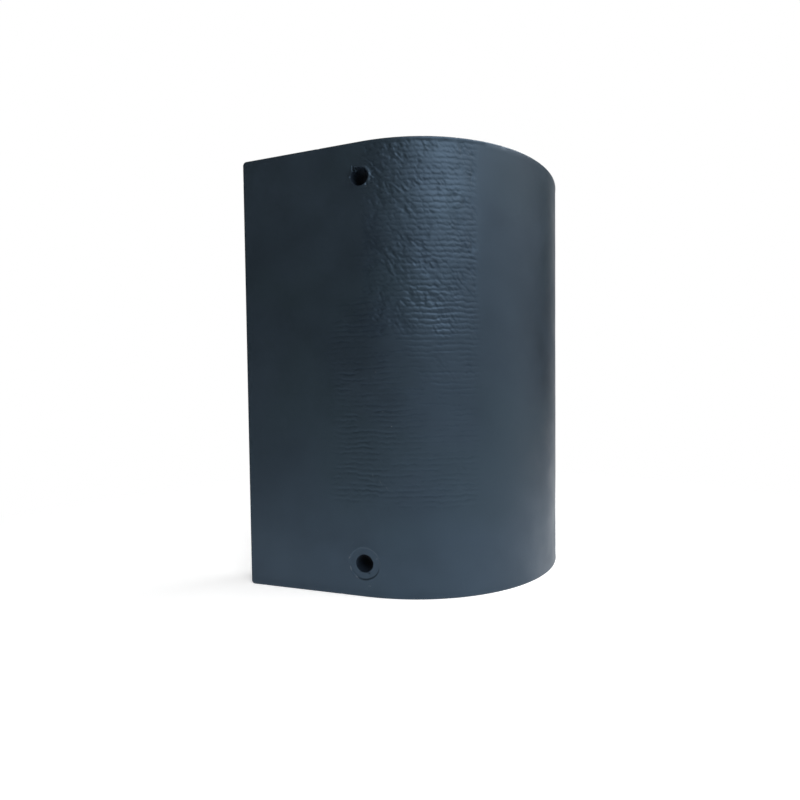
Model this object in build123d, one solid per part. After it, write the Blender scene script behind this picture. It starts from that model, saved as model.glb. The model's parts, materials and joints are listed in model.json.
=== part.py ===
from build123d import *
import math
import os

# Moulded rubber wear plate in one piece: a flat leg, a long round bend and a second flat leg.
# It stands on its lower end. The bend faces -Y, +Z runs up its height, and the origin lies on
# the floor under the middle of the plate.
# Lengths are in millimetres and angles in degrees.

# the moulded blank
HEIGHT = 280.0
THICKNESS = 25.0
BEND_OUTER_RADIUS = 112.0
BEND_ANGLE = 120.0
LEG_LENGTH = 83.0

# the trimmed edges
CORNER_RADIUS = 2.5
EDGE_ROUND = 0.8

# the four bolt holes, a pair on each leg beside the bend
BOLT_DIAMETER = 10.0
BOLT_CLEARANCE = 1.0
HOLE_TO_BEND = 1.0
HOLE_TO_END = 21.0

# the seat that a washer has pressed into the face round the lower left hole
WASHER_DIAMETER = 20.0
WASHER_DENT = 0.6

# the tear that runs up and left from the mouth of the upper left hole
TEAR_REACH = 3.2
TEAR_WIDTH = 9.0
TEAR_DEPTH = 4.0
TEAR_DIRECTION = 124.0

HOLE_DIAMETER = BOLT_DIAMETER + BOLT_CLEARANCE
HALF_BEND = math.radians(BEND_ANGLE / 2)
LEFT, RIGHT = -1, 1
# every cut starts this far outside the face that it enters
CUT_START = 2.0


def on_plate(side, along_leg, depth):
    """Point in plan on a leg: along_leg from the end of the bend, and depth in from the outer face."""
    radius = BEND_OUTER_RADIUS - depth
    x = radius * math.sin(HALF_BEND) + along_leg * math.cos(HALF_BEND)
    y = -radius * math.cos(HALF_BEND) + along_leg * math.sin(HALF_BEND)
    return (side * x, y)


def long_side(depth):
    """One long side of the section, leg, bend and leg, at this depth in from the outer face."""
    crown = (0, depth - BEND_OUTER_RADIUS)
    left_leg = Line(on_plate(LEFT, LEG_LENGTH, depth), on_plate(LEFT, 0, depth))
    bend = ThreePointArc(on_plate(LEFT, 0, depth), crown, on_plate(RIGHT, 0, depth))
    right_leg = Line(on_plate(RIGHT, 0, depth), on_plate(RIGHT, LEG_LENGTH, depth))
    return [left_leg, bend, right_leg]


def leg_end(side):
    """The cut across the wall at the free end of a leg."""
    return Line(on_plate(side, LEG_LENGTH, 0), on_plate(side, LEG_LENGTH, THICKNESS))


def blank():
    """The plate as it leaves the mould, with sharp edges and no holes."""
    outline = long_side(0) + long_side(THICKNESS) + [leg_end(LEFT), leg_end(RIGHT)]
    return extrude(make_face(outline), HEIGHT)


def crosses_wall(edge):
    """Does this edge run straight through the thickness?"""
    return edge.geom_type == GeomType.LINE and math.isclose(edge.length, THICKNESS, abs_tol=1e-3)


def joins_leg_to_bend(edge):
    """Is this one of the full-height lines where a flat leg runs smoothly into the bend?"""
    upright = abs((edge % 0.5).Z) > 0.999
    return upright and edge.length > HEIGHT - CORNER_RADIUS


def trimmed(plate):
    """Rounds the sheet's four corners, then breaks the edges all round its two broad faces."""
    plate = fillet([edge for edge in plate.edges() if crosses_wall(edge)], CORNER_RADIUS)
    kept = (crosses_wall, joins_leg_to_bend)
    rims = [edge for edge in plate.edges() if not any(test(edge) for test in kept)]
    return fillet(rims, EDGE_ROUND)


def hole_face(side, height):
    """Plane on the outer face at a hole: x to the right as seen from outside, y up, z straight out."""
    x, y = on_plate(side, HOLE_TO_BEND, 0)
    across = (math.cos(HALF_BEND), side * math.sin(HALF_BEND), 0)
    outwards = (side * math.sin(HALF_BEND), -math.cos(HALF_BEND), 0)
    return Plane(origin=(x, y, height), x_dir=across, z_dir=outwards)


def cut_into(shape, depth):
    """A flat sketch turned into a cutter from just outside the face down to this depth."""
    return Pos(0, 0, -depth) * extrude(shape, depth + CUT_START)


def bolt_hole():
    return cut_into(Circle(HOLE_DIAMETER / 2), THICKNESS + CUT_START)


def washer_seat():
    return cut_into(Circle(WASHER_DIAMETER / 2), WASHER_DENT)


def tear():
    """A pointed tear whose foot lies across the hole, so that it opens from the hole's wall."""
    tip = (HOLE_DIAMETER / 2 + TEAR_REACH, 0)
    outline = Polyline((0, TEAR_WIDTH / 2), (0, -TEAR_WIDTH / 2), tip, close=True)
    return Rot(0, 0, TEAR_DIRECTION) * cut_into(make_face(outline), TEAR_DEPTH)


def wear_plate():
    plate = trimmed(blank())
    for side in (LEFT, RIGHT):
        for height in (HOLE_TO_END, HEIGHT - HOLE_TO_END):
            plate -= hole_face(side, height) * bolt_hole()
    plate -= hole_face(LEFT, HOLE_TO_END) * washer_seat()
    plate -= hole_face(LEFT, HEIGHT - HOLE_TO_END) * tear()
    return plate


def centred(plate):
    """The plate moved in plan until the middle of its box stands over the origin."""
    middle = plate.bounding_box().center()
    return Pos(-middle.X, -middle.Y, 0) * plate


plate = centred(wear_plate())
os.makedirs("parts", exist_ok=True)
export_step(plate, "parts/wear_plate.step")
size = plate.bounding_box().size
print(f"wear plate {size.X:.1f} x {size.Y:.1f} x {size.Z:.1f} mm, {plate.volume / 1000:.0f} cm3")
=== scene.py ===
# %% [markdown]
# # A rubber wear plate
# The object is one thick sheet of moulded rubber, bent round and held by four bolts.
# It takes the rubbing that would otherwise wear the steel behind it. Nothing on it moves, so
# the whole lesson is one mesh and one material, made well: a sheet with true holes and edges,
# a cloth print pressed into its face, and a dark rubber that shows wear where hands, bolts and
# stones have been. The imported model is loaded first, as a fixed frame to build around.

import json
import math

import bmesh
import bpy
import numpy as np
from mathutils import Matrix, Vector
from mathutils.geometry import delaunay_2d_cdt


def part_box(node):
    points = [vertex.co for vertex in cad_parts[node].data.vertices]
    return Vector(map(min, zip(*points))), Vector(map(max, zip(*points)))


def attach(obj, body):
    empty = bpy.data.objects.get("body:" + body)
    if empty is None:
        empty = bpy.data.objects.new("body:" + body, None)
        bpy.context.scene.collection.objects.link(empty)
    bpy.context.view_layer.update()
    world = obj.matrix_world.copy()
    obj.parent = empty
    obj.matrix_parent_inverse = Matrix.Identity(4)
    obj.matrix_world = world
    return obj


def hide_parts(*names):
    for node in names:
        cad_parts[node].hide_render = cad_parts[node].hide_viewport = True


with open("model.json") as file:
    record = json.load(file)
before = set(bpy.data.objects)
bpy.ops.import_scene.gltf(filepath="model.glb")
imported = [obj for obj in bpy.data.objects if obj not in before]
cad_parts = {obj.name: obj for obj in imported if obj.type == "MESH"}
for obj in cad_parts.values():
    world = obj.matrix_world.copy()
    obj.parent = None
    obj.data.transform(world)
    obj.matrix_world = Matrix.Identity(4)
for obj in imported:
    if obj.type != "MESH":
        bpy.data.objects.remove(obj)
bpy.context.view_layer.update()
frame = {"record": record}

# %% [markdown]
# ## Sizes
# The plate's section is a flat leg, a long round bend and a second flat leg. A few driving
# sizes say all of it. What the frame knows, it tells: the height comes from the node's box,
# and the bolt holes come from the record's mounts. So does the thickness, because the bolts'
# mount lies in the middle of the wall and the seat's on its inner face. Lengths are in metres.

# %% Driving sizes
MM = 0.001
BEND_RADIUS = 112 * MM
HALF_BEND = math.radians(60)
LEG = 83 * MM
CORNER_RADIUS = 2.5 * MM
EDGE_ROUND = 0.8 * MM
HOLE_TO_BEND = 1 * MM

low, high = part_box("wear_plate")
HEIGHT = high.z - low.z
BEND_CENTRE_Y = low.y + BEND_RADIUS
REACH = BEND_RADIUS * HALF_BEND + LEG

mounts = {mount["name"]: mount for mount in frame["record"]["mounts"]}
bolts, seat = mounts["left_bolts"], mounts["left_leg_seat"]
THICKNESS = 2 * (Vector(seat["pos_m"]) - Vector(bolts["pos_m"])).dot(Vector(seat["axis"]))
HOLE_RADIUS = bolts["dims"]["hole_r_mm"] * MM
HALF_PAIR = bolts["dims"]["pcd_mm"] * MM / 2
HOLE_REACH = BEND_RADIUS * HALF_BEND + HOLE_TO_BEND
LOW_HOLE = bolts["pos_m"][2] - HALF_PAIR
HIGH_HOLE = bolts["pos_m"][2] + HALF_PAIR
print(f"laid flat: {2 * REACH:.4f} x {HEIGHT:.4f} x {THICKNESS:.4f} m, holes {2 * HOLE_RADIUS:.4f} m across")

# %% [markdown]
# ## The camera
# The photograph looks at the bend from the left, from about a third of a metre away and
# almost level. A camera that stands that near sees the top and bottom edges as curves, and
# this is what gives the picture its shape, so the place and the lens matter more than any
# other setting. Three turns aim it: round the compass, down, and a little sideways. A small
# lens shift moves the picture in its frame, as cropping a photograph does.

# %% Camera
FROM_BEND_CENTRE = Vector((-0.29261, -0.30105, 0.12374))
LOOK_ROUND = math.radians(41.870)
LOOK_DOWN = math.radians(1.934)
LEAN = math.radians(-0.685)
LENS_MM = 22.85
SHIFT = (0.0089, 0.0196)

camera = bpy.data.objects.new("camera", bpy.data.cameras.new("camera"))
bpy.context.scene.collection.objects.link(camera)
bpy.context.scene.camera = camera
camera.data.lens = LENS_MM
camera.data.sensor_width = 36
camera.data.shift_x, camera.data.shift_y = SHIFT
camera.data.clip_start = 0.01
aim = Matrix.Rotation(-LOOK_ROUND, 4, "Z") @ Matrix.Rotation(math.pi / 2 - LOOK_DOWN, 4, "X")
stand = Matrix.Translation(FROM_BEND_CENTRE + Vector((0, BEND_CENTRE_Y, 0)))
camera.matrix_world = stand @ aim @ Matrix.Rotation(LEAN, 4, "Z")
print("camera looks along", [round(v, 3) for v in camera.matrix_world.col[2].xyz * -1])

# %% [markdown]
# ## Writing nodes as sums
# Both the shape and the finish below are node trees. Long trees are hard to read when each
# node and link is a line of its own, so one small class wraps a node's output and lets
# Python's own signs add the Math nodes. The same class serves shader trees and geometry
# trees, because both use the same Math, Noise and Map Range nodes.

# %% A wire and a graph
class Wire:
    """One output of a node. Arithmetic on it adds Math nodes to the same tree."""

    def __init__(self, graph, socket):
        self.graph = graph
        self.socket = socket

    def math(self, operation, *values):
        return self.graph.add("ShaderNodeMath", {"operation": operation}, dict(enumerate(values)))


def operator(operation, swapped=False):
    def apply(self, other):
        pair = (other, self) if swapped else (self, other)
        return self.math(operation, *pair)
    return apply


SIGNS = {"add": "ADD", "sub": "SUBTRACT", "mul": "MULTIPLY", "truediv": "DIVIDE", "pow": "POWER"}
for sign, operation in SIGNS.items():
    setattr(Wire, f"__{sign}__", operator(operation))
    setattr(Wire, f"__r{sign}__", operator(operation, swapped=True))


class Graph:
    """A node tree that is written as expressions."""

    def __init__(self, tree):
        self.tree = tree

    def add(self, kind, settings=None, links=None, output=0):
        """A node of this kind: its settings first, then the values or wires of its sockets."""
        node = self.tree.nodes.new(kind)
        for name, value in (settings or {}).items():
            setattr(node, name, value)
        for key, value in (links or {}).items():
            self.feed(node.inputs[key], value)
        return Wire(self, node.outputs[output]) if len(node.outputs) else node

    def feed(self, socket, value):
        if isinstance(value, Wire):
            self.tree.links.new(value.socket, socket)
        else:
            socket.default_value = value

    def vector(self, x, y, z):
        return self.add("ShaderNodeCombineXYZ", links={0: x, 1: y, 2: z})

    def split(self, vector):
        """The x, y and z of a vector."""
        x = self.add("ShaderNodeSeparateXYZ", links={0: vector})
        parts = x.socket.node.outputs
        return [Wire(self, parts[index]) for index in range(3)]

    def smooth(self, value, start, end, start_value=0.0, end_value=1.0):
        """Eases from one value to the other as the input goes from start to end."""
        links = dict(enumerate((value, start, end, start_value, end_value)))
        return self.add("ShaderNodeMapRange", {"interpolation_type": "SMOOTHSTEP"}, links)

    def window(self, value, start, end, soft):
        """One between start and end, easing to nought over the soft width outside them."""
        return self.smooth(value, start - soft, start) * self.smooth(value, end, end + soft, 1.0, 0.0)

    def noise(self, vector, size, seed, detail=2.0, roughness=0.5):
        """Cloudy noise between 0 and 1, whose blotches are about this size in metres."""
        links = {"Vector": vector, "W": seed, "Scale": 1 / size, "Detail": detail, "Roughness": roughness}
        return self.add("ShaderNodeTexNoise", {"noise_dimensions": "4D"}, links)

    def blend(self, share, first, second):
        """Mixes two colours."""
        return self.add("ShaderNodeMix", {"data_type": "RGBA"}, {0: share, 6: first, 7: second}, 2)


print("signs:", ", ".join(SIGNS))

# %% [markdown]
# ## The sheet laid flat
# A bent, pierced, printed sheet could be cut out of a bent block with booleans, but the cuts
# leave ragged triangles that catch the light. It is easier to draw the sheet flat, as a
# designer does, and to bend it afterwards. Three numbers place each point: s is the way along
# the sheet from the middle of the bend, depth is the way in from the outer face, and z is the
# height. First come the loops of points round the sheet and round each hole.

# %% Loops of points
RIM_STEP = 1.1 * MM
CORNER_STEPS = 5
HOLE_STEPS = 72
HOLE_RIM = 0.3 * MM


def outline(inset):
    """Points (s, z) anticlockwise round the sheet, this far in from its trimmed edge."""
    far_s = REACH - CORNER_RADIUS
    far_z = HEIGHT - CORNER_RADIUS
    corners = [(far_s, far_z), (-far_s, far_z), (-far_s, CORNER_RADIUS), (far_s, CORNER_RADIUS)]
    out = CORNER_RADIUS - inset
    points = []
    for quarter, (s, z) in enumerate(corners):
        for step in range(CORNER_STEPS + 1):
            turn = math.pi / 2 * (quarter + step / CORNER_STEPS)
            points.append((s + out * math.cos(turn), z + out * math.sin(turn)))
        next_s, next_z = corners[(quarter + 1) % 4]
        count = round((abs(next_s - s) + abs(next_z - z)) / RIM_STEP)
        start_s, start_z = points[-1]
        for share in np.arange(1, count) / count:
            points.append((start_s + (next_s - s) * share, start_z + (next_z - z) * share))
    return np.array(points)


def ring(centre, radius):
    turns = np.arange(HOLE_STEPS) * 2 * math.pi / HOLE_STEPS
    return np.column_stack([centre[0] + radius * np.cos(turns), centre[1] + radius * np.sin(turns)])


HOLES = [(side * HOLE_REACH, height) for side in (-1, 1) for height in (LOW_HOLE, HIGH_HOLE)]
SEATED_HOLE, TORN_HOLE = HOLES[:2]
print("points round the sheet:", len(outline(0)), "and round each hole:", HOLE_STEPS)

# %% [markdown]
# ## Points inside the loops
# The inside of each face is filled with rows of points, alternate rows shifted by half a gap,
# so that they join up into near equal triangles. They lie close where the face has detail:
# nearly six to a row of yarn where the cloth print shows, twice as close round the two damaged
# holes, and four times as wide elsewhere. Each wider lattice uses points of the closer one, so
# no two points ever lie too near. The steps keep the whole sheet under 200,000 triangles.

# %% Lattices
YARN_PITCH = 3.28 * MM
PRINT_STEP = 0.565 * MM
PRINT_START, PRINT_END, PRINT_FOOT = -146 * MM, -40 * MM, 56 * MM
HOLE_DETAIL = 11 * MM
BACK_STEP = 5 * MM


def away(s, z, centre):
    return np.hypot(s - centre[0], z - centre[1])


def near_damage(s, z):
    return np.minimum(away(s, z, SEATED_HOLE), away(s, z, TORN_HOLE)) < HOLE_DETAIL


def in_print(s, z):
    return (s > PRINT_START) & (s < PRINT_END) & (z > PRINT_FOOT)


def lattice(step, wanted):
    """Points (s, z) in shifted rows this far apart, where wanted and clear of every loop."""
    gap = step / math.sqrt(0.75)
    rows, columns = int(HEIGHT / step), int(2 * REACH / gap)
    row, column = np.mgrid[0:rows + 1, 0:columns + 1]
    s = (column + row % 2 / 2) * gap - REACH
    z = row * step
    margin = EDGE_ROUND + 0.6 * step
    keep = (np.abs(s) < REACH - margin) & (z > margin) & (z < HEIGHT - margin) & wanted(s, z)
    for hole in HOLES:
        keep &= away(s, z, hole) > HOLE_RADIUS + HOLE_RIM + 0.5 * step
    corner = away(np.abs(s), np.abs(z - HEIGHT / 2), (REACH - CORNER_RADIUS, HEIGHT / 2 - CORNER_RADIUS))
    beyond = (np.abs(s) > REACH - CORNER_RADIUS) & (np.abs(z - HEIGHT / 2) > HEIGHT / 2 - CORNER_RADIUS)
    keep &= ~(beyond & (corner > CORNER_RADIUS - margin))
    return np.column_stack([s[keep], z[keep]])


front_points = np.vstack([
    lattice(PRINT_STEP / 2, near_damage),
    lattice(PRINT_STEP, lambda s, z: in_print(s, z) & ~near_damage(s, z)),
    lattice(PRINT_STEP * 4, lambda s, z: ~in_print(s, z) & ~near_damage(s, z)),
])
back_points = lattice(BACK_STEP, lambda s, z: s == s)
print("points on the front:", len(front_points), "on the back:", len(back_points))

# %% [markdown]
# ## Damage that belongs to the shape
# Two holes tell a story. A washer has been tightened on the lower left one and has left its
# round seat in the rubber. At the upper left one the bolt has torn a corner out of the mouth.
# Both are depths below the outer face, so each is a small function of the point: how far is
# it from the hole, and on which side? A wavering edge keeps the tear from looking cut.

# %% Washer seat, tear and chips
SEAT_RADIUS = 10 * MM
SEAT_DEPTH = 0.6 * MM
SEAT_SLOPE = 1.0 * MM
SEAT_LOW_SIDE = math.radians(215)

TEAR_TURN = math.radians(124)
TEAR_REACH = HOLE_RADIUS + 3.2 * MM
TEAR_HALF_WIDTH = 4.5 * MM
TEAR_DEPTH = 4.0 * MM
TEAR_LIP = 0.9 * MM

# each chip: the hole, the turn round it, the way from its middle, the size, the depth
CHIPS = [
    (TORN_HOLE, -48, 6.6, 1.3, 0.55),
    (TORN_HOLE, 176, 6.0, 0.9, 0.50),
    (SEATED_HOLE, -62, 5.9, 1.4, 0.50),
    (SEATED_HOLE, 238, 6.1, 0.9, 0.35),
]


def ease(share):
    share = np.clip(share, 0, 1)
    return share * share * (3 - 2 * share)


def seat_depth(s, z):
    """The dish that a washer left, a little deeper on the side where it was tightened hardest."""
    turn = np.arctan2(z - SEATED_HOLE[1], s - SEATED_HOLE[0])
    lean = 0.8 + 0.2 * np.cos(turn - SEAT_LOW_SIDE)
    return SEAT_DEPTH * lean * ease((SEAT_RADIUS - away(s, z, SEATED_HOLE)) / SEAT_SLOPE + 0.5)


def tear_depth(s, z):
    """A wedge that opens from the torn hole, with a wavering edge and a floor that climbs to its tip."""
    along = (s - TORN_HOLE[0]) * math.cos(TEAR_TURN) + (z - TORN_HOLE[1]) * math.sin(TEAR_TURN)
    across = (z - TORN_HOLE[1]) * math.cos(TEAR_TURN) - (s - TORN_HOLE[0]) * math.sin(TEAR_TURN)
    waver = 0.25 * MM * np.sin(along / (0.55 * MM) + 2.0 * np.sign(across))
    half_width = TEAR_HALF_WIDTH * (1 - along / TEAR_REACH) + waver
    floor = TEAR_DEPTH * (1 - 0.45 * ease((along - HOLE_RADIUS) / (TEAR_REACH - HOLE_RADIUS)))
    return np.where(along > 0, floor * ease((half_width - np.abs(across)) / TEAR_LIP), 0)


def chip_depth(s, z):
    total = np.zeros_like(s)
    for hole, turn, way, size, depth in CHIPS:
        turn = math.radians(turn)
        middle = (hole[0] + way * MM * math.cos(turn), hole[1] + way * MM * math.sin(turn))
        total += depth * MM * np.exp(-((away(s, z, middle) / (size * MM / 2)) ** 2))
    return total


def face_depth(points):
    s, z = points[:, 0], points[:, 1]
    return np.maximum(seat_depth(s, z), tear_depth(s, z)) + chip_depth(s, z)


depths = face_depth(front_points) / MM
print(f"deepest damage {depths.max():.2f} mm, at {np.count_nonzero(depths > 0.05)} points")

# %% [markdown]
# ## From points to a closed sheet
# Blender's own Delaunay triangulation joins the loops and the points of each face into
# triangles and keeps the loops as edges. The triangles that fill a hole have all three
# corners on that hole's loop, which is how they are found and dropped. Rings of quads then
# run over the rounded rims and down the walls, and use the faces' own points, so the sheet is
# closed without any merging.

# %% Faces, rims and walls
vertices = []
faces = []


def add_points(points, depth):
    """Adds points (s, z) at a depth or depths, and gives their indices."""
    first = len(vertices)
    depth = np.broadcast_to(depth, len(points))
    vertices.extend((s, d, z) for (s, z), d in zip(points, depth))
    return list(range(first, len(vertices)))


def fill_face(border, rings, inside):
    """Triangles between the border, the hole rings and the inside points, as lists of indices."""
    indices = border + [index for loop in rings for index in loop] + inside
    flat = [Vector((vertices[index][0], vertices[index][2])) / MM for index in indices]
    edges = []
    first = 0
    for loop in [border] + rings:
        count = len(loop)
        edges += [(first + step, first + (step + 1) % count) for step in range(count)]
        first += count
    found = delaunay_2d_cdt(flat, edges, [], 0, 1e-5)
    origin = [indices[ids[0]] for ids in found[3]]
    loops = [set(loop) for loop in rings]
    for face in found[2]:
        corners = [origin[corner] for corner in face]
        if not any(loop.issuperset(corners) for loop in loops):
            faces.append(corners)


def join_rings(rings):
    for upper, lower in zip(rings, rings[1:]):
        for step in range(len(upper)):
            following = (step + 1) % len(upper)
            faces.append((upper[step], lower[step], lower[following], upper[following]))


def rim_rings():
    """Rings round the sheet from the front face over its rounded rim, down and over the back rim."""
    rings = []
    for turn in np.radians([0, 30, 60, 90]):
        inset, depth = EDGE_ROUND * (1 - math.sin(turn)), EDGE_ROUND * (1 - math.cos(turn))
        rings.append(add_points(outline(inset), depth))
    rings.append(add_points(outline(0), THICKNESS / 2))
    for turn in np.radians([90, 45, 0]):
        inset, depth = EDGE_ROUND * (1 - math.sin(turn)), EDGE_ROUND * (1 - math.cos(turn))
        rings.append(add_points(outline(inset), THICKNESS - depth))
    return rings


def hole_rings(hole):
    """Rings down a bolt hole. They start at the face, which is lower where it is torn or dented."""
    mouth = face_depth(ring(hole, HOLE_RADIUS + HOLE_RIM))
    slope = math.sqrt(0.5)
    rings = [add_points(ring(hole, HOLE_RADIUS + HOLE_RIM), mouth)]
    rings.append(add_points(ring(hole, HOLE_RADIUS + HOLE_RIM * (1 - slope)), mouth + HOLE_RIM * (1 - slope)))
    for share in (0, 0.3, 0.7, 1):
        top, bottom = mouth + HOLE_RIM, THICKNESS - HOLE_RIM
        rings.append(add_points(ring(hole, HOLE_RADIUS), top + (bottom - top) * share))
    rings.append(add_points(ring(hole, HOLE_RADIUS + HOLE_RIM), THICKNESS))
    return rings


around = rim_rings()
join_rings(around)
mouths, exits = [], []
for hole in HOLES:
    down = hole_rings(hole)
    join_rings(down)
    mouths.append(down[0])
    exits.append(down[-1])
front = add_points(front_points, face_depth(front_points))
fill_face(around[0], mouths, front)
fill_face(around[-1], exits, add_points(back_points, THICKNESS))

sheet = bpy.data.meshes.new("wear_plate_sheet")
sheet.from_pydata(vertices, [], faces)
print("sheet:", len(vertices), "points,", sum(len(face) - 2 for face in faces), "triangles")

# %% [markdown]
# ## Notes written on the sheet
# Later steps need to know more about a point than its place: how much room the print has
# there, and whether it is on a rim that gets rubbed. Such notes are attributes of the mesh.
# They ride along while the sheet is bent, and the material can read them too.

# %% Attributes
PRINT_FADE = 2.0 * MM

place = np.array(vertices)
room = np.zeros(len(vertices))
s, z = front_points[:, 0], front_points[:, 1]
to_edge = np.minimum(REACH - np.abs(s), np.minimum(z, HEIGHT - z)) - EDGE_ROUND
to_hole = np.min([away(s, z, hole) for hole in HOLES], axis=0) - HOLE_RADIUS - HOLE_RIM
to_seat = away(s, z, SEATED_HOLE) - SEAT_RADIUS - SEAT_SLOPE / 2
room[front] = ease(np.minimum(to_edge, np.minimum(to_hole, to_seat)) / PRINT_FADE)

rim = np.zeros(len(vertices))
for loop, share in zip(around, (0.35, 0.8, 1.0, 0.6, 0.0, 0.4, 0.7, 0.3)):
    rim[loop] = share

for name, values in {"room": room, "rim": rim}.items():
    note = sheet.attributes.new(name, "FLOAT", "POINT")
    note.data.foreach_set("value", values.astype(np.float32))
print("points with room for the print:", np.count_nonzero(room > 0.5))

# %% [markdown]
# ## The cloth print and the bend
# Thick rubber sheet is cured under a tight cotton wrap, and when the cloth is peeled off, its
# weave stays in the face. The rows of yarn can be counted: the height over the pitch, rounded,
# is the number of a row, and what rounding took off says how far a point is from its middle.
# The same along a row gives the short floats of yarn. Noise bends the rows a little, and a
# stretched noise adds the slanting folds of a wrap that slipped. Windows say where the print
# has survived. All of it presses inwards, because the crests are the plate's true face.
#
# The same tree then bends the sheet, since that too is a rule: within the bend the way along
# the sheet becomes an angle, and past it the sheet runs straight on. Geometry Nodes can do
# both to every point at once, and its named inputs keep the sizes in one place.

# %% Tree inputs
MADE_SIZES = {
    "Yarn Pitch": YARN_PITCH,
    "Weave Depth": 0.20 * MM,
    "Rib Depth": 0.16 * MM,
    "Crease Depth": 0.26 * MM,
    "Swell Depth": 0.30 * MM,
    "Nick Depth": 0.45 * MM,
    "Bend Radius": BEND_RADIUS,
    "Half Bend": HALF_BEND,
    "Bend Centre": BEND_CENTRE_Y,
    "Seed": 7.0,
}

bending = bpy.data.node_groups.new("print_and_bend", "GeometryNodeTree")
bending.interface.new_socket("Geometry", in_out="INPUT", socket_type="NodeSocketGeometry")
identifiers = {}
for name in MADE_SIZES:
    socket = bending.interface.new_socket(name, in_out="INPUT", socket_type="NodeSocketFloat")
    identifiers[name] = socket.identifier
rubber_socket = bending.interface.new_socket("Rubber", in_out="INPUT", socket_type="NodeSocketMaterial")
bending.interface.new_socket("Geometry", in_out="OUTPUT", socket_type="NodeSocketGeometry")

nodes = Graph(bending)
entry = bending.nodes.new("NodeGroupInput")
given = {socket.name: Wire(nodes, socket) for socket in entry.outputs if socket.name}
print("named inputs:", ", ".join(identifiers))

# %% [markdown]
# ### Where the print survives
# The print is deepest in a tall band beside the upper left hole, fades into plain ribs lower
# down, and is gone from the crown, which has been polished flat. The windows below place
# these zones by the way along the sheet and the height, both in metres.

# %% Zones
def soft_zone(graph, s, z, left, right, foot, top, soft):
    """A window in both directions, given in millimetres."""
    across = graph.window(s, left * MM, right * MM, soft * MM)
    return across * graph.window(z, foot * MM, top * MM, soft * MM)


flat = nodes.add("GeometryNodeInputPosition")
s, depth, z = nodes.split(flat)
seed = given["Seed"]
pitch = given["Yarn Pitch"]
patches = nodes.noise(flat, 16 * MM, seed + 1.0, 3.0)

woven = soft_zone(nodes, s, z, -108, -49, 172, 300, 14) * nodes.smooth(s, -50 * MM, -43 * MM, 1.0, 0.0)
ribbed = soft_zone(nodes, s, z, -128, -49, 66, 176, 16) * nodes.smooth(s, -52 * MM, -40 * MM, 1.0, 0.0)
drift = soft_zone(nodes, s, z, -146, -110, 84, 230, 12)
woven = woven * nodes.smooth(patches, 0.20, 0.50, 0.55, 1.0)
ribbed = ribbed * nodes.smooth(patches, 0.30, 0.60, 0.30, 1.0)
drift = drift * nodes.smooth(patches, 0.50, 0.70) * 0.6
print("zones: woven, ribbed and drift")

# %% [markdown]
# ### The yarns
# A slow noise shifts each row up or down by a part of its pitch, and a quick one roughens it.
# Within a row the yarn shows as short floats, each between two places where it dips under a
# crossing yarn. Every row has its own random start and a noise changes the floats' lengths,
# so that they never line up. The gaps round the floats are narrow and dark, the floats round.
# Lower down only the gaps between rows are left, broken into runs, and those are the ribs.

# %% Print height
FLOAT_LENGTH = 5.2 * MM
waver = nodes.noise(flat, 22 * MM, seed + 2.0, 1.0) - 0.5
jitter = nodes.noise(flat, 4.2 * MM, seed + 3.0, 2.5) - 0.5
row = (z + waver * 3.0 * MM + jitter * 3.4 * MM) / pitch
row_number = row.math("ROUND", row)
off_row = row - row_number
start = nodes.add("FunctionNodeRandomValue", {"data_type": "FLOAT"}, {"ID": row_number}, 1)
stagger = nodes.noise(nodes.vector(s, 0.0, row_number * 9 * MM), 7 * MM, seed + 9.0, 2.0)
column = s / FLOAT_LENGTH + start + stagger * 2.6 + off_row * 0.55
off_column = column - column.math("ROUND", column)
off_row = off_row.math("ABSOLUTE", off_row) * 2.0
off_column = off_column.math("ABSOLUTE", off_column) * 2.0

row_gap = nodes.smooth(off_row, 0.40, 1.0)
squareness = off_row ** 2.2 + off_column ** 5.0 * 0.75
gap = nodes.smooth(squareness, 0.10, 1.05)
runs = nodes.smooth(nodes.noise(nodes.vector(s * 0.25, 0.0, z), 3.2 * MM, seed + 4.0, 1.0), 0.34, 0.56)

SLANT = math.radians(-50)
slant_along = s * math.cos(SLANT) + z * math.sin(SLANT)
slant_across = z * math.cos(SLANT) - s * math.sin(SLANT)
stretched = nodes.vector(slant_along * 0.35, 0.0, slant_across)
fold = nodes.noise(stretched, 3.6 * MM, seed + 5.0, 2.0, 0.45)
fold = 1.0 - nodes.smooth((fold - 0.5).math("ABSOLUTE", fold - 0.5), 0.0, 0.14)
fold = fold * nodes.smooth(nodes.noise(flat, 11 * MM, seed + 6.0), 0.44, 0.62)
patchy = nodes.smooth(nodes.noise(flat, 7 * MM, seed + 10.0, 2.0), 0.34, 0.58, 0.35, 1.0)
pebbles = nodes.noise(flat, 1.6 * MM, seed + 11.0, 1.0)

weave_cut = given["Weave Depth"] * (gap * patchy + pebbles * 0.5) * woven
rib_cut = given["Rib Depth"] * row_gap * runs * (ribbed + drift)
fold_cut = given["Crease Depth"] * fold * (woven + ribbed * 0.25)
print("print: rows, floats, runs and folds")

# %% [markdown]
# ### Swell, nicks and the bend
# Rubber never comes flat out of a press, so a long, slow swell goes in as well. It is far too
# shallow to see by itself, but it makes the reflections wander. The rims get nicks: a noise
# that is cut off low down, so that most of the rim stays whole.

# %% Press and bend
print_cut = weave_cut + rib_cut + fold_cut
swell = nodes.noise(flat, 60 * MM, seed + 7.0, 2.0, 0.4)
at_face = nodes.add("GeometryNodeInputNamedAttribute", links={"Name": "room"})
at_rim = nodes.add("GeometryNodeInputNamedAttribute", links={"Name": "rim"})
nick = nodes.smooth(nodes.noise(flat, 2.6 * MM, seed + 8.0, 3.0, 0.6), 0.60, 0.76)
nick_cut = given["Nick Depth"] * nick * at_rim

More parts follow.
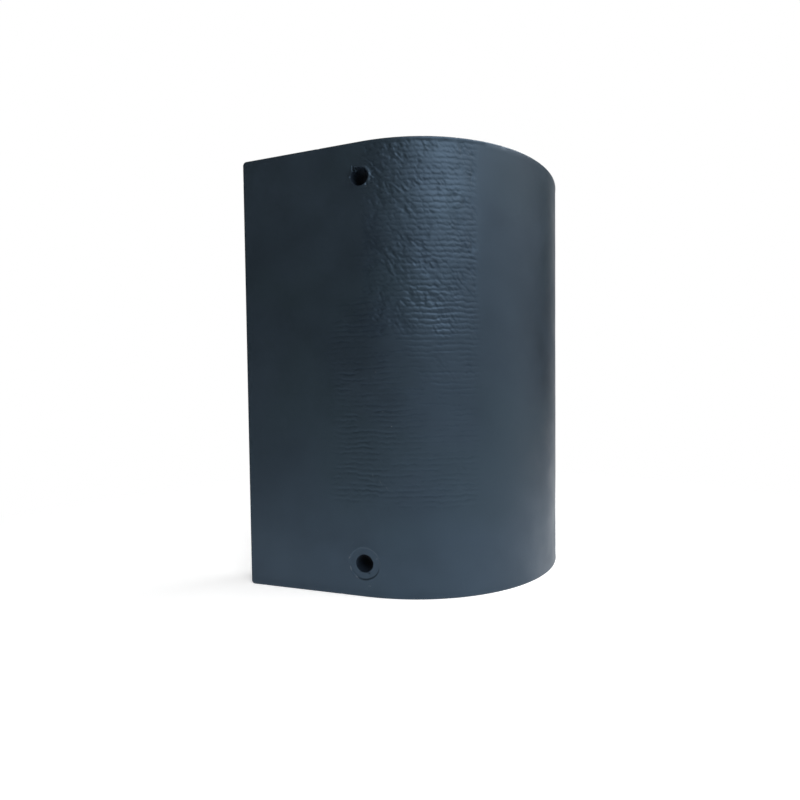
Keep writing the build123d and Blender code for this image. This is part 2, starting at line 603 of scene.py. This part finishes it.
pressed = depth + at_face * (print_cut + given["Swell Depth"] * swell)
towards_back = nodes.smooth(depth, 0.0, THICKNESS, 1.0, -1.0)
pressed = pressed + nick_cut * towards_back
rise = nick_cut * nodes.smooth(z, HEIGHT * 0.4, HEIGHT * 0.6, 1.0, -1.0)
lifted = z + rise * (1.0 - nodes.smooth(s.math("ABSOLUTE", s), REACH - 3 * MM, REACH - 1 * MM))

reach = given["Bend Radius"] * given["Half Bend"]
in_bend = s.math("MINIMUM", reach, s.math("MAXIMUM", s, reach * -1.0))
beyond = s - in_bend
angle = in_bend / given["Bend Radius"]
radius = given["Bend Radius"] - pressed
cosine, sine = angle.math("COSINE", angle), angle.math("SINE", angle)
bent_x = radius * sine + beyond * cosine
bent_y = given["Bend Centre"] - radius * cosine + beyond * sine
bent = nodes.vector(bent_x, bent_y, lifted)

# %% [markdown]
# ### Notes kept and the mesh handed over
# Once bent, a point no longer knows where it lay on the flat sheet, so its flat place and the
# depth of the print there are stored first, under names that the material reads. Then the
# points move, instances become real and the material goes on.

# %% Finish the tree
def keep_note(geometry, name, kind, value):
    """Writes a field on the mesh's points under a name that the material can read."""
    settings = {"data_type": kind, "domain": "POINT"}
    links = {"Geometry": geometry, "Name": name, "Value": value}
    return nodes.add("GeometryNodeStoreNamedAttribute", settings, links)


geometry = keep_note(given["Geometry"], "flat", "FLOAT_VECTOR", flat)
most = given["Weave Depth"] + given["Rib Depth"]
geometry = keep_note(geometry, "pressed", "FLOAT", at_face * print_cut / most)
geometry = nodes.add("GeometryNodeSetPosition", links={"Geometry": geometry, "Position": bent})
geometry = nodes.add("GeometryNodeRealizeInstances", links={"Geometry": geometry})
geometry = nodes.add("GeometryNodeSetMaterial", links={"Geometry": geometry, "Material": given["Rubber"]})
leave = bending.nodes.new("NodeGroupOutput")
bending.links.new(geometry.socket, leave.inputs[0])
print("tree:", len(bending.nodes), "nodes")

# %% [markdown]
# ## The rubber
# The colour is a dark slate, neither black nor blue. Clouds of lighter and darker rubber, a
# pale bloom in flecks and rubbed rims keep it from looking like paint. The print's crests and
# the plain face are painted paler than its gaps and folds: painted shade in the gaps. The sheen
# matters as much: it is satin, a little smoother where the print has been polished off.
# A grain too fine for the mesh is left to a Bump node.

# %% Rubber: places and colours
DEEP_SLATE = (0.0110, 0.0165, 0.0225, 1)
SLATE = (0.0190, 0.0280, 0.0375, 1)
# pale bloom for the random flecks, and the painted highlight on the print's crests
BLOOM_AND_CREST_HIGHLIGHT = (0.040, 0.056, 0.070, 1)
RUBBED = (0.150, 0.165, 0.180, 1)
GREEN_CAST = (0.0165, 0.0275, 0.0320, 1)
# near-black painted shade for the walls of the bolt holes
HOLE_SHADE_COLOUR = (0.0012, 0.0012, 0.0030, 1)
SHEEN_TINT = (0.445, 0.683, 1.0, 1)

rubber = bpy.data.materials.new("slate_rubber")
rubber.use_nodes = True
paint = Graph(rubber.node_tree)
shader = rubber.node_tree.nodes["Principled BSDF"]
sheet_place = paint.add("ShaderNodeAttribute", {"attribute_name": "flat"}, output="Vector")
print_depth = paint.add("ShaderNodeAttribute", {"attribute_name": "pressed"}, output="Fac")
rim_share = paint.add("ShaderNodeAttribute", {"attribute_name": "rim"}, output="Fac")
s, depth, z = paint.split(sheet_place)

clouds = paint.noise(sheet_place, 42 * MM, 3.0, 3.0)
speckle = paint.noise(sheet_place, 2.2 * MM, 5.0, 4.0, 0.65)
cast = paint.noise(sheet_place, 70 * MM, 9.0, 1.0)
colour = paint.blend(paint.smooth(clouds, 0.30, 0.70), DEEP_SLATE, SLATE)
colour = paint.blend(paint.smooth(cast, 0.48, 0.66) * 0.6, colour, GREEN_CAST)
colour = paint.blend(paint.smooth(speckle, 0.55, 0.80) * 0.25, colour, BLOOM_AND_CREST_HIGHLIGHT)
# Painted shade: the bloom is left out where the print is pressed deep, so its gaps and folds are darker than
# its crests.
colour = paint.blend(paint.smooth(print_depth, 0.0, 0.5, 0.25, 0.0), colour, BLOOM_AND_CREST_HIGHLIGHT)
print("rubber: clouds, cast, speckle and bloom")

# %% [markdown]
# ### Scuffs
# The photograph shows a few pale marks: short arcs where the washer's edge has bitten, small
# bright flecks, and faint scratches low on the plate. Each is the soft ball of a Gradient,
# stretched into a streak by a Mapping node, so it stays sharp however close the camera comes.

# %% Rubber: scuffs
# each mark: the way along the sheet and the height, the length, the width, the turn, the strength
MARKS = [
    (-128.2, 24.6, 4.0, 1.2, 66, 0.55),
    (-127.6, 17.4, 4.6, 1.1, 112, 0.45),
    (-123.6, 12.2, 5.2, 1.0, 140, 0.40),
    (-110.4, 24.4, 1.9, 1.5, 90, 0.45),
    (-115.0, 7.2, 2.6, 0.9, 0, 0.30),
    (-113.8, 252.6, 2.6, 1.3, 40, 0.45),
    (-109.5, 140.0, 1.3, 1.0, 10, 0.75),
    (-111.0, 137.2, 1.2, 0.8, 60, 0.60),
    (-104.8, 115.8, 1.6, 0.9, 0, 0.60),
    (-99.6, 106.8, 1.5, 1.2, 0, 0.80),
    (-112.0, 76.0, 7.5, 0.7, 100, 0.20),
    (-107.0, 72.0, 5.5, 0.6, 118, 0.22),
    (-103.0, 68.5, 4.5, 0.6, 124, 0.18),
]


def streak(along, height, length, width, turn):
    """A soft pale streak on the sheet, all sizes in millimetres and the turn in degrees."""
    links = {
        "Vector": paint.vector(s, 0.0, z),
        "Location": (along * MM, 0, height * MM),
        "Rotation": (0, -math.radians(turn), 0),
        "Scale": (length * MM / 2, 1, width * MM / 2),
    }
    local = paint.add("ShaderNodeMapping", {"vector_type": "TEXTURE"}, links)
    ball = paint.add("ShaderNodeTexGradient", {"gradient_type": "SPHERICAL"}, {"Vector": local}, 1)
    return paint.smooth(ball, 0.0, 0.6)


outer_side = paint.smooth(depth, 2 * MM, 3 * MM, 1.0, 0.0)
fray = paint.smooth(paint.noise(sheet_place, 1.1 * MM, 15.0, 3.0), 0.35, 0.60)
scuffed = None
for along, height, length, width, turn, strength in MARKS:
    mark = streak(along, height, length, width, turn) * strength
    scuffed = mark if scuffed is None else scuffed.math("MAXIMUM", scuffed, mark)
scuffed = scuffed * outer_side * fray
print("scuffs:", len(MARKS))

# %% [markdown]
# ### Rims, sheen and grain
# The rim note on the mesh says where the rounded edges are. A noise breaks the rubbing up, so
# that only bites of it are pale. The walls of the bolt holes are painted near-black: painted
# shade in the holes. Roughness follows the same masks, since a scuff is duller than the skin
# around it. Two noises make the grain, and a Bump node turns them into slopes. The specular tint
# is bluish, because the photograph's highlights have the same cast as its shadows.

# %% Rubber: finish
bites = paint.smooth(paint.noise(sheet_place, 1.7 * MM, 21.0, 4.0, 0.6), 0.52, 0.70)
rubbed = rim_share * bites * 0.55
colour = paint.blend(rubbed, colour, RUBBED)
colour = paint.blend(scuffed, colour, RUBBED)
from_middle = z - HEIGHT / 2
hole_across = s.math("ABSOLUTE", s) - HOLE_REACH
hole_up = from_middle.math("ABSOLUTE", from_middle) - (HIGH_HOLE - HEIGHT / 2)
from_hole = paint.vector(hole_across, 0.0, hole_up)
from_hole = paint.add("ShaderNodeVectorMath", {"operation": "LENGTH"}, {0: from_hole}, "Value")
# Painted shade: the wall of each bolt hole is painted near-black.
hole_shade_mask = paint.smooth(from_hole, HOLE_RADIUS + 0.05 * MM, HOLE_RADIUS + 0.5 * MM, 1.0, 0.0)
colour = paint.blend(hole_shade_mask, colour, HOLE_SHADE_COLOUR)
paint.feed(shader.inputs["Base Color"], colour)

polish = paint.noise(sheet_place, 30 * MM, 27.0, 2.0)
roughness = paint.smooth(polish, 0.3, 0.7, 0.40, 0.52)
roughness = roughness + print_depth * 0.06 + rubbed * 0.25 + scuffed * 0.2 + hole_shade_mask * 0.5
paint.feed(shader.inputs["Roughness"], roughness)

grain = paint.noise(sheet_place, 0.55 * MM, 33.0, 3.0, 0.6)
pores = paint.smooth(paint.noise(sheet_place, 1.5 * MM, 39.0, 2.0), 0.30, 0.42)
bump = {"Strength": 0.35, "Distance": 0.12 * MM, "Height": grain * 0.6 + pores * 0.4}
paint.feed(shader.inputs["Normal"], paint.add("ShaderNodeBump", links=bump))
shader.inputs["IOR"].default_value = 1.52
shader.inputs["Specular IOR Level"].default_value = 0.80
shader.inputs["Specular Tint"].default_value = SHEEN_TINT
print("rubber:", len(rubber.node_tree.nodes), "nodes")

# %% [markdown]
# ## Make the plate
# The tree's inputs are set by their identifiers before the sheet is first evaluated, and the
# result is then taken as a plain mesh, with the modifier gone. That mesh is what stands for
# the CAD node. It is closed, so its volume can be compared with the plate's own: a cloth
# print takes a little away and adds nothing.

# %% Plain mesh
source = bpy.data.objects.new("sheet", sheet)
bpy.context.scene.collection.objects.link(source)
modifier = source.modifiers.new("print_and_bend", "NODES")
modifier.node_group = bending
for name, value in MADE_SIZES.items():
    modifier[identifiers[name]] = value
modifier[rubber_socket.identifier] = rubber

evaluated = source.evaluated_get(bpy.context.evaluated_depsgraph_get())
plain = bpy.data.meshes.new_from_object(evaluated)
bpy.data.objects.remove(source)

solid = bmesh.new()
solid.from_mesh(plain)
bmesh.ops.recalc_face_normals(solid, faces=solid.faces)
open_edges = sum(not edge.is_manifold for edge in solid.edges)
volume = solid.calc_volume()
solid.to_mesh(plain)
solid.free()
plain.shade_smooth()
print(f"open edges {open_edges}, volume {volume * 1e6:.1f} cm3, materials {len(plain.materials)}")

plate = bpy.data.objects.new("wear_plate_rubber", plain)
bpy.context.scene.collection.objects.link(plate)
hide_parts("wear_plate")
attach(plate, "root")

# %% [markdown]
# ## Floor and backdrop
# The photograph is cut out on pure white. Here the plate stands on a sheet of white paper
# that fans out from under the camera and turns up into a wall behind. To the camera, to
# mirrors and to glass the paper adds a glow of its own, which grows with the distance from
# the plate: the shadow stays, and the paper runs out into white without a line. Light that
# falls on things sees it as it is. Around it lies a plain pale floor in a dim room, since the
# photograph's left third reflects something dark.

# %% Floor and backdrop
FLOOR_HALF, FLOOR_DROP = 4.0, 0.001
PAPER_NEAR, PAPER_FAR, PAPER_TOP = 0.10, 2.4, 2.3
PAPER_SPREAD, PAPER_MARGIN = 0.80, 0.04
NEAR_GLOW = 0.62


def pale_material(name, glowing):
    """White board. Where it glows, only rays from the camera, a mirror or glass see the glow."""
    pale = bpy.data.materials.new(name)
    pale.use_nodes = True
    cover = Graph(pale.node_tree)
    cover.tree.nodes.clear()
    surface = cover.add("ShaderNodeBsdfDiffuse", links={"Color": (0.80, 0.80, 0.80, 1)})
    if glowing:
        path = cover.add("ShaderNodeLightPath").socket.node.outputs
        rays = [f"Is {kind} Ray" for kind in ("Camera", "Glossy", "Transmission")]
        seen, glossy, clear = [Wire(cover, path[ray]) for ray in rays]
        seen = seen.math("MAXIMUM", seen, glossy.math("MAXIMUM", glossy, clear))
        place = cover.add("ShaderNodeTexCoord", output="Object")
        away = cover.add("ShaderNodeVectorMath", {"operation": "LENGTH"}, {0: place}, "Value")
        glow = {"Color": (1, 1, 1, 1), "Strength": seen * NEAR_GLOW}
        near_glow = cover.add("ShaderNodeEmission", links=glow)
        surface = cover.add("ShaderNodeAddShader", links={0: surface, 1: near_glow})
        white = cover.add("ShaderNodeEmission", links={"Color": (1, 1, 1, 1), "Strength": 1.0})
        share = cover.smooth(away, 0.18, 0.50) * seen
        surface = cover.add("ShaderNodeMixShader", links={0: share, 1: surface, 2: white})
    cover.add("ShaderNodeOutputMaterial", links={"Surface": surface})
    return pale


def stage_piece(name, points, faces, material):
    """A piece of the studio, which belongs to the picture and not to the part."""
    mesh = bpy.data.meshes.new(name)
    mesh.from_pydata(points, [], faces)
    mesh.materials.append(material)
    piece = bpy.data.objects.new(name, mesh)
    bpy.context.scene.collection.objects.link(piece)


def from_camera(ahead, right, height):
    """A point this far ahead of the camera's foot and this far to its right."""
    sine, cosine = math.sin(LOOK_ROUND), math.cos(LOOK_ROUND)
    foot = camera.matrix_world.translation
    return (foot.x + ahead * sine + right * cosine, foot.y + ahead * cosine - right * sine, height)


near_half, far_half = (PAPER_SPREAD * ahead + PAPER_MARGIN for ahead in (PAPER_NEAR, PAPER_FAR))
paper_points = [
    from_camera(PAPER_NEAR, -near_half, 0), from_camera(PAPER_NEAR, near_half, 0),
    from_camera(PAPER_FAR, far_half, 0), from_camera(PAPER_FAR, -far_half, 0),
    from_camera(PAPER_FAR, far_half, PAPER_TOP), from_camera(PAPER_FAR, -far_half, PAPER_TOP),
]
stage_piece("paper", paper_points, [(0, 1, 2, 3), (3, 2, 4, 5)], pale_material("white_paper", True))
corners = ((-1, -1), (1, -1), (1, 1), (-1, 1))
floor_points = [(x * FLOOR_HALF, y * FLOOR_HALF, -FLOOR_DROP) for x, y in corners]
stage_piece("floor", floor_points, [(0, 1, 2, 3)], pale_material("pale_floor", False))

world = bpy.data.worlds.new("studio")
bpy.context.scene.world = world
world.use_nodes = True
dim_room = world.node_tree.nodes["Background"]
dim_room.inputs["Color"].default_value = (1, 1, 1, 1)
dim_room.inputs["Strength"].default_value = 0.05
print("floor, backdrop and a dim room")

# %% [markdown]
# ## Light
# The bright band on the bend is the reflection of a soft key lamp above and beside the camera,
# with a weak front lamp to widen it. A large panel on the right and a high lamp behind it
# light the right-hand end of the bend. The left stays dark, as in the photograph, and the
# white paper lights the lower edge.

# %% Lamps
def soft_lamp(name, compass, height_angle, watts, width=0.7, height=0.7):
    """An area lamp aimed at the plate. The compass angle is from -Y towards -X, in degrees."""
    lamp = bpy.data.lights.new(name, "AREA")
    lamp.shape = "RECTANGLE"
    lamp.size, lamp.size_y = width, height
    lamp.energy = watts
    around, up = math.radians(compass), math.radians(height_angle)
    way = Vector((-math.sin(around) * math.cos(up), -math.cos(around) * math.cos(up), math.sin(up)))
    middle = Vector((0, 0, HEIGHT / 2))
    shade = bpy.data.objects.new(name, lamp)
    facing = way.to_track_quat("Z", "Y").to_matrix().to_4x4()
    shade.matrix_world = Matrix.Translation(middle + way * LAMP_DISTANCE) @ facing
    bpy.context.scene.collection.objects.link(shade)


LAMP_DISTANCE = 1.3
soft_lamp("key_lamp", 24, 36, 7.7)
soft_lamp("front_lamp", 5, 25, 1.0)
soft_lamp("right_panel", -36, 16, 2.3, 1.0, 1.2)
soft_lamp("high_lamp", -50, 60, 12.5)
bpy.context.scene.view_settings.view_transform = "Standard"
print("lamps: key, front, panel and high")
